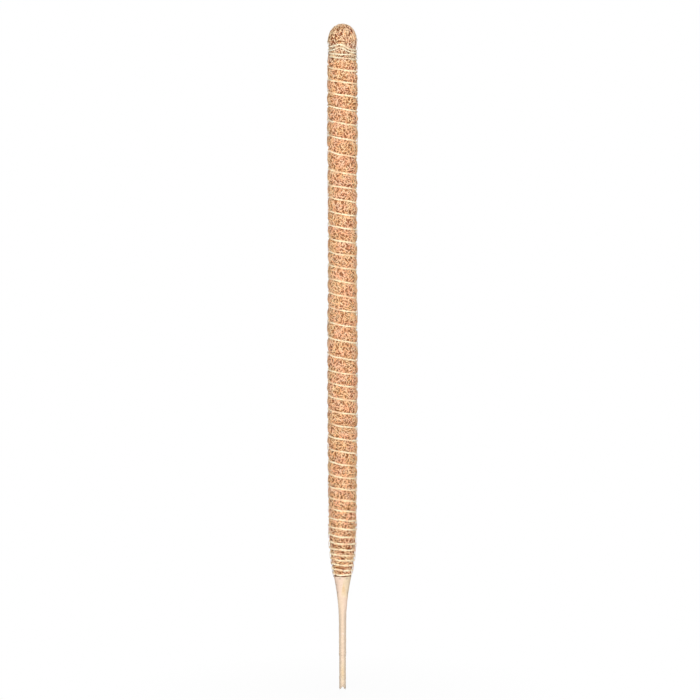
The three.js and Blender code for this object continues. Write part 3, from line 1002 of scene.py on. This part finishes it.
# %% Wrap the stake
STAKE_COLUMNS = 96
STAKE_ROWS = 220
BAND_EDGES = (-45.8 * MM, -47.2 * MM)  # upper and lower edge of the last band
TAPE_END_LINE = -49 * MM  # a crease, with painted shade on the paper below it
YELLOW_MIDDLE = -44.2 * MM  # the paper is yellower for a few millimetres round here
YELLOW_REACH = 4 * MM
YELLOW_DEPTH = 0.65
STAKE_BLUSH = 0.8
BAND_LIFT = 0.06 * MM
BAND_EDGE_PAINTED_SHADE = 0.3  # painted shade in the lines along its edges
BAND_SHADE_REACH = 0.12 * MM
STAKE_LUMP = 0.02 * MM
END_PAINTED_SHADE = 0.35
END_SHADE_TOP = TAPE_END_LINE - 0.5 * MM
END_SHADE_BLEND = 0.2 * MM
PRONG_LENGTH = 1.4 * MM  # the paper follows each end of the wire so far below the tape's own end
NOTCH_HEIGHT = 0.9 * MM
NOTCH_HALF_WIDTH = 0.8 * MM


def stake_place(round_share, along):
    """A flat-sided sleeve with slightly uneven paper and a last narrow band."""
    z = stake_high.z + (stake_low.z - stake_high.z) * along
    x, y = flat_sided(round_share, HALF_SPACING, STAKE_RADIUS + 0 * z)
    above_upper, above_lower = (soft_step(z, edge, EDGE_SOFTNESS) for edge in BAND_EDGES)
    radius = STAKE_RADIUS + BAND_LIFT * (above_lower - above_upper)
    radius += STAKE_LUMP * paper_lumps(np.stack([x, y, z], axis=-1))
    x, y = flat_sided(round_share, HALF_SPACING, radius)
    notch = NOTCH_HEIGHT * np.clip(1 - np.abs(x) / NOTCH_HALF_WIDTH, 0, 1)
    z = z + (notch - PRONG_LENGTH) * np.clip((z - TAPE_END_LINE) / (stake_low.z - TAPE_END_LINE), 0, 1)
    return np.stack([x, y, z], axis=-1)


stake_wrap = roll_up("stake_wrap", STAKE_COLUMNS, STAKE_ROWS, stake_place)
thicken(stake_wrap, TAPE_THICKNESS)
stake_across, _, stake_heights = point_array(stake_wrap).T
# painted shade along both edges of the last band
band_edge_painted_shade = sum(ridge(stake_heights, edge, BAND_SHADE_REACH) for edge in BAND_EDGES)
yellow = ridge(stake_heights, YELLOW_MIDDLE, YELLOW_REACH)
# painted shade on the prongs below the crease
end_painted_shade = END_PAINTED_SHADE * soft_step(END_SHADE_TOP, stake_heights, END_SHADE_BLEND)
# the stake's sides get painted shade
give_tone(stake_wrap, 1 - BAND_EDGE_PAINTED_SHADE * band_edge_painted_shade - end_painted_shade - painted_side_shade(stake_across))
give_tone(stake_wrap, STAKE_BLUSH - YELLOW_DEPTH * yellow, "blush")
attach(stake_wrap, "root")
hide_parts("stake_tape")
print("stake wrap:", len(stake_wrap.data.polygons), "faces")

# %% [markdown]
# ## The core wire
#
# One soft wire, bent double, runs through the pole. Only its two snipped ends show. A bevelled curve gives
# the wire, and two slanting cuts snip the ends, longer on their outer side as side cutters leave them.

# %% Bend and snip the wire
wire_low, wire_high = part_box("core_wire")
WIRE_RADIUS = STAKE_RADIUS - TAPE_THICKNESS - TAPE_GAP
BEND_POINTS = 13
LEG_POINTS = 8
SNIP_SLOPE = 0.8
CREASE_ANGLE = math.radians(40)

bend_angle = np.linspace(0, math.pi, BEND_POINTS)
bend_base = wire_high.z - WIRE_RADIUS - HALF_SPACING
leg = np.linspace(wire_low.z, bend_base, LEG_POINTS, endpoint=False)
snip_top = leg[2]  # well above both cuts
bend_x = -HALF_SPACING * np.cos(bend_angle)
bend_z = bend_base + HALF_SPACING * np.sin(bend_angle)
wire_x = np.concatenate([np.full(LEG_POINTS, -HALF_SPACING), bend_x, np.full(LEG_POINTS, HALF_SPACING)])
wire_z = np.concatenate([leg, bend_z, leg[::-1]])
wire_line = np.stack([wire_x, 0 * wire_x, wire_z], axis=-1)
wire_radii = np.full((1, len(wire_line)), WIRE_RADIUS)
bent_wire = make_strands("bent_wire", [wire_line], wire_radii, bevel_steps=5)
close_ends(bent_wire)


def near_end(place, side):
    """Whether a place is near the wire's end on that side."""
    return bool(place.x * side > 0 and place.z < snip_top)


for side in (-1, 1):
    bpy.ops.object.mode_set(mode="EDIT")
    bpy.ops.mesh.select_all(action="DESELECT")
    bpy.ops.object.mode_set(mode="OBJECT")
    mesh = bent_wire.data
    for face in mesh.polygons:
        face.select = near_end(face.center, side)
    for edge in mesh.edges:
        edge.select = all(near_end(mesh.vertices[index].co, side) for index in edge.vertices)
    for point in mesh.vertices:
        point.select = near_end(point.co, side)
    bpy.ops.object.mode_set(mode="EDIT")
    bpy.ops.mesh.bisect(
        plane_co=(side * (HALF_SPACING + WIRE_RADIUS), 0, wire_low.z),
        plane_no=(side * SNIP_SLOPE, 0, 1), use_fill=True, clear_inner=True,
    )
    bpy.ops.object.mode_set(mode="OBJECT")
bpy.ops.object.shade_smooth_by_angle(angle=CREASE_ANGLE)
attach(bent_wire, "root")
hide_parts("core_wire")
print("bent wire:", len(bent_wire.data.polygons), "faces")

# %% [markdown]
# ## Finishes shared by several materials
#
# Coir shifts between golden and pinkish patches, whatever piece it is on, and paper, twine and wire all have
# a fine grain. Where the twine is tied, both it and the coir are greyed by dust. Matted coir also catches
# light more as one soft skin than as single hairs, so its normals lean to those of the pole. These effects
# are node groups, built once and placed in each material that needs them.

# %% Build the shared groups


def colour(red, green, blue):
    """A colour as a paint chart gives it, 0 to 255, as the linear values that shaders use."""
    parts = [part / 255 for part in (red, green, blue)]
    linear = [part / 12.92 if part <= 0.04045 else ((part + 0.055) / 1.055) ** 2.4 for part in parts]
    return (*linear, 1)


def add_ramp(tree, factor, stops):
    """A colour ramp from pairs of place and colour."""
    ramp = add_node(tree, "ShaderNodeValToRGB", Fac=factor)
    elements = ramp.color_ramp.elements
    while len(elements) < len(stops):
        elements.new(0.5)
    for element, (place, shade) in zip(elements, stops):
        element.position = place
        element.color = shade
    return ramp.outputs["Color"]


def mix_colours(tree, factor, first, second, blend="MIX"):
    """A mix of two colours by a factor."""
    node = tree.nodes.new("ShaderNodeMix")
    node.data_type = "RGBA"
    node.blend_type = blend
    for name, value in (("Factor_Float", factor), ("A_Color", first), ("B_Color", second)):
        feed(tree, next(found for found in node.inputs if found.identifier == name), value)
    return next(found for found in node.outputs if found.identifier == "Result_Color")


def new_group(name, output, **inputs):
    """An empty shader group of named sockets, each with its kind, and its ends inside."""
    group = bpy.data.node_groups.new(name, "ShaderNodeTree")
    for label, kind in inputs.items():
        group.interface.new_socket(name=label, in_out="INPUT", socket_type="NodeSocket" + kind)
    group.interface.new_socket(name="Result", in_out="OUTPUT", socket_type="NodeSocket" + output)
    return group, group.nodes.new("NodeGroupInput").outputs, group.nodes.new("NodeGroupOutput").inputs[0]


PATCH_SIZE = 5 * MM
PATCH_EDGES = (0.4, 0.62)  # of the noise; under the first the coir is golden
PATCH_DEPTH = 0.75  # over the second, this far to pinkish
coir_tint, tint_in, tint_out = new_group("coir_tint", "Color", Tone="Float")
tint_place = add_node(coir_tint, "ShaderNodeTexCoord").outputs["Object"]
patches = add_node(coir_tint, "ShaderNodeTexNoise", Vector=tint_place, Scale=1 / PATCH_SIZE, Detail=2)
patch_share = grade(coir_tint, patches.outputs["Fac"], 0, PATCH_DEPTH, *PATCH_EDGES)
golden = add_ramp(coir_tint, tint_in["Tone"], (
    (0, colour(136, 78, 40)), (0.45, colour(250, 187, 130)), (1, colour(255, 222, 175)),
))
pinkish = add_ramp(coir_tint, tint_in["Tone"], (
    (0, colour(140, 76, 47)), (0.45, colour(252, 180, 137)), (1, colour(255, 213, 180)),
))
tinted = mix_colours(coir_tint, patch_share, golden, pinkish)
coir_tint.links.new(tinted, tint_out)

TIE_MIDDLE = TIE_START - 2.9 * MM
TIE_REACH = 3.8 * MM  # both ways from the middle
DUST_FADE = 0.6 * MM
TIE_DUST = colour(242, 248, 255)
tie_dust, dust_in, dust_out = new_group("tie_dust", "Color", Color="Color")
dust_place = add_node(tie_dust, "ShaderNodeTexCoord").outputs["Object"]
dust_height = add_node(tie_dust, "ShaderNodeSeparateXYZ", Vector=dust_place).outputs["Z"]
off_middle = compute(tie_dust, "ABSOLUTE", compute(tie_dust, "SUBTRACT", dust_height, TIE_MIDDLE))
dust_share = grade(tie_dust, off_middle, 1, 0, TIE_REACH - DUST_FADE, TIE_REACH + DUST_FADE)
dusted = mix_colours(tie_dust, dust_share, dust_in["Color"], TIE_DUST, "MULTIPLY")
tie_dust.links.new(dusted, dust_out)

fine_grain, grain_in, grain_out = new_group("fine_grain", "Float", Scale="Float", Stretch="Vector")
grain_place = add_node(fine_grain, "ShaderNodeTexCoord").outputs["Object"]
stretched = vector_math(fine_grain, "MULTIPLY", grain_place, grain_in["Stretch"])
grain_noise = add_node(fine_grain, "ShaderNodeTexNoise", Vector=stretched, Scale=grain_in["Scale"], Detail=4)
fine_grain.links.new(grain_noise.outputs["Fac"], grain_out)

matted, matted_in, matted_out = new_group("matted_normal", "Vector", Normal="Vector", Share="Float")
skin_place = add_node(matted, "ShaderNodeTexCoord").outputs["Object"]
x_part, y_part, z_part = add_node(matted, "ShaderNodeSeparateXYZ", Vector=skin_place).outputs
over_dome = compute(matted, "MAXIMUM", compute(matted, "SUBTRACT", z_part, DOME_BASE), 0)
from_axis = add_node(matted, "ShaderNodeCombineXYZ", X=x_part, Y=y_part, Z=over_dome).outputs[0]
skin_out = vector_math(matted, "NORMALIZE", from_axis)
from_fibre = vector_math(matted, "SUBTRACT", skin_out, matted_in["Normal"])
shares = {axis: matted_in["Share"] for axis in "XYZ"}
share_vector = add_node(matted, "ShaderNodeCombineXYZ", **shares).outputs[0]
leaning = vector_math(matted, "MULTIPLY_ADD", from_fibre, share_vector, matted_in["Normal"])
matted.links.new(vector_math(matted, "NORMALIZE", leaning), matted_out)
print("groups:", [group.name for group in bpy.data.node_groups])

# %% [markdown]
# ## Materials
#
# Each material is a Principled BSDF whose colour, roughness and bump come from nodes. The fibres and tapes
# also read the tone that was stored on their points.

# %% Mix the materials


def add_group(tree, group, **inputs):
    """The output of a shared group that is placed in a material with its own values."""
    node = tree.nodes.new("ShaderNodeGroup")
    node.node_tree = group
    for name, value in inputs.items():
        feed(tree, node.inputs[name], value)
    return node.outputs[0]


def read_tone(tree, name="tone"):
    """A value stored on the points of a mesh."""
    node = tree.nodes.new("ShaderNodeAttribute")
    node.attribute_name = name
    return node.outputs["Fac"]


def new_finish(name, specular, grain_size, roughness, depth, strength, stretch=(1, 1, 1)):
    """A material whose roughness and bump follow a fine grain, with its tree, shader and grain."""
    material = bpy.data.materials.new(name)
    material.use_nodes = True
    tree = material.node_tree
    shader = tree.nodes["Principled BSDF"]
    shader.inputs["Specular IOR Level"].default_value = specular
    grain = add_group(tree, fine_grain, Scale=1 / grain_size, Stretch=stretch)
    feed(tree, shader.inputs["Roughness"], grade(tree, grain, *roughness))
    bump = add_node(tree, "ShaderNodeBump", Height=grain, Distance=depth, Strength=strength)
    feed(tree, shader.inputs["Normal"], bump.outputs["Normal"])
    return material, tree, shader, grain


FIBRE_STREAKS = 0.35  # how much lighter and darker a fibre's own streaks are
TWINE_STREAKS = 0.3
# the mat's dark tones are painted shade in the gaps between the fibres
MAT_PAINTED_SHADE_TONES = (-0.1, 0.3)
PAPER_BLUSH = 0.75  # a blush of 1 has the third colour of the paper, and more is paler
SPECK_SHARE = 0.6
SKIN_SHARE = 0.6  # how far matted fibres are shaded as one skin, which darkens towards the pole's sides


def lean_out(tree, shader):
    """Turns the shader's normal part of the way to that of the skin."""
    normal = shader.inputs["Normal"]
    feed(tree, normal, add_group(tree, matted, Normal=normal.links[0].from_socket, Share=SKIN_SHARE))


def fibre_finish():
    """Coir fibres: a tone for each, over golden and pinkish patches, with fine streaks."""
    material, tree, shader, grain = new_finish(
        "coir_fibre", specular=0.3, grain_size=0.4 * MM, roughness=(0.5, 0.8), depth=0.05 * MM, strength=0.4
    )
    tone = compute(tree, "ADD", read_tone(tree), grade(tree, grain, -FIBRE_STREAKS, FIBRE_STREAKS))
    tint = add_group(tree, coir_tint, Tone=tone)
    feed(tree, shader.inputs["Base Color"], add_group(tree, tie_dust, Color=tint))
    lean_out(tree, shader)
    return material


def mat_finish():
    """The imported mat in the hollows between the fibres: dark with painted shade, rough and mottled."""
    material, tree, shader, grain = new_finish(
        "coir_mat", specular=0.15, grain_size=0.7 * MM, roughness=(0.8, 1), depth=0.2 * MM, strength=0.8
    )
    tint = add_group(tree, coir_tint, Tone=grade(tree, grain, *MAT_PAINTED_SHADE_TONES))
    feed(tree, shader.inputs["Base Color"], tint)
    lean_out(tree, shader)
    return material


def twine_finish():
    """Cream twine: paler and tanner by turns, with fine fibre streaks."""
    material, tree, shader, grain = new_finish(
        "cream_twine", specular=0.2, grain_size=0.3 * MM, roughness=(0.7, 0.95),
        depth=0.06 * MM, strength=0.6,
    )
    tone = compute(tree, "ADD", read_tone(tree), grade(tree, grain, -TWINE_STREAKS, TWINE_STREAKS))
    shade = add_ramp(tree, tone, (
        (0.2, colour(246, 208, 167)), (0.6, colour(255, 232, 192)), (1, colour(255, 238, 204)),
    ))
    feed(tree, shader.inputs["Base Color"], add_group(tree, tie_dust, Color=shade))
    shader.inputs["Sheen Weight"].default_value = 0.1
    return material


def tape_finish():
    """Cream crepe paper: pinkish and yellowish by turns, darker with painted shade in folds, dents and lines
    and on the stake's sides, with fine cross wrinkles.
    """
    material, tree, shader, crepe = new_finish(
        "cream_tape", specular=0.25, grain_size=0.5 * MM, roughness=(0.6, 0.85),
        depth=0.05 * MM, strength=0.5, stretch=(0.6, 0.6, 2.2),
    )
    blush = compute(tree, "MULTIPLY", read_tone(tree, "blush"), PAPER_BLUSH)
    paper = add_ramp(tree, blush, (
        (0, colour(226, 196, 156)), (0.3, colour(231, 209, 178)), (PAPER_BLUSH, colour(236, 209, 188)),
        (1, colour(255, 238, 222)),
    ))
    # the stored tone mixes the paper towards this colour: painted shade
    painted_shade_paper = mix_colours(tree, read_tone(tree), colour(193, 175, 154), paper)
    speck = add_ramp(tree, crepe, ((0.3, colour(228, 222, 214)), (0.55, colour(255, 255, 255))))
    feed(tree, shader.inputs["Base Color"], mix_colours(tree, SPECK_SHARE, painted_shade_paper, speck, "MULTIPLY"))
    return material


def wire_finish():
    """Dull zinc: drawn along its length, with darker specks."""
    material, tree, shader, drawn = new_finish(
        "dull_zinc", specular=0.5, grain_size=0.25 * MM, roughness=(0.35, 0.6),
        depth=0.02 * MM, strength=0.4, stretch=(1, 1, 0.15),
    )
    shade = add_ramp(tree, drawn, ((0.3, colour(176, 164, 150)), (0.6, colour(214, 200, 184))))
    feed(tree, shader.inputs["Base Color"], shade)
    shader.inputs["Metallic"].default_value = 0.6
    return material


def paint_piece(material, *pieces):
    """Puts one material on whole pieces."""
    for piece in pieces:
        piece.data.materials.clear()
        piece.data.materials.append(material)


paint_piece(fibre_finish(), *coir_layers)
paint_piece(mat_finish(), coir_mat, coir_core)
paint_piece(twine_finish(), binding_twine, *knots)
paint_piece(tape_finish(), neck_wrap, stake_wrap)
paint_piece(wire_finish(), bent_wire)
print("materials:", [material.name for material in bpy.data.materials if material.users])
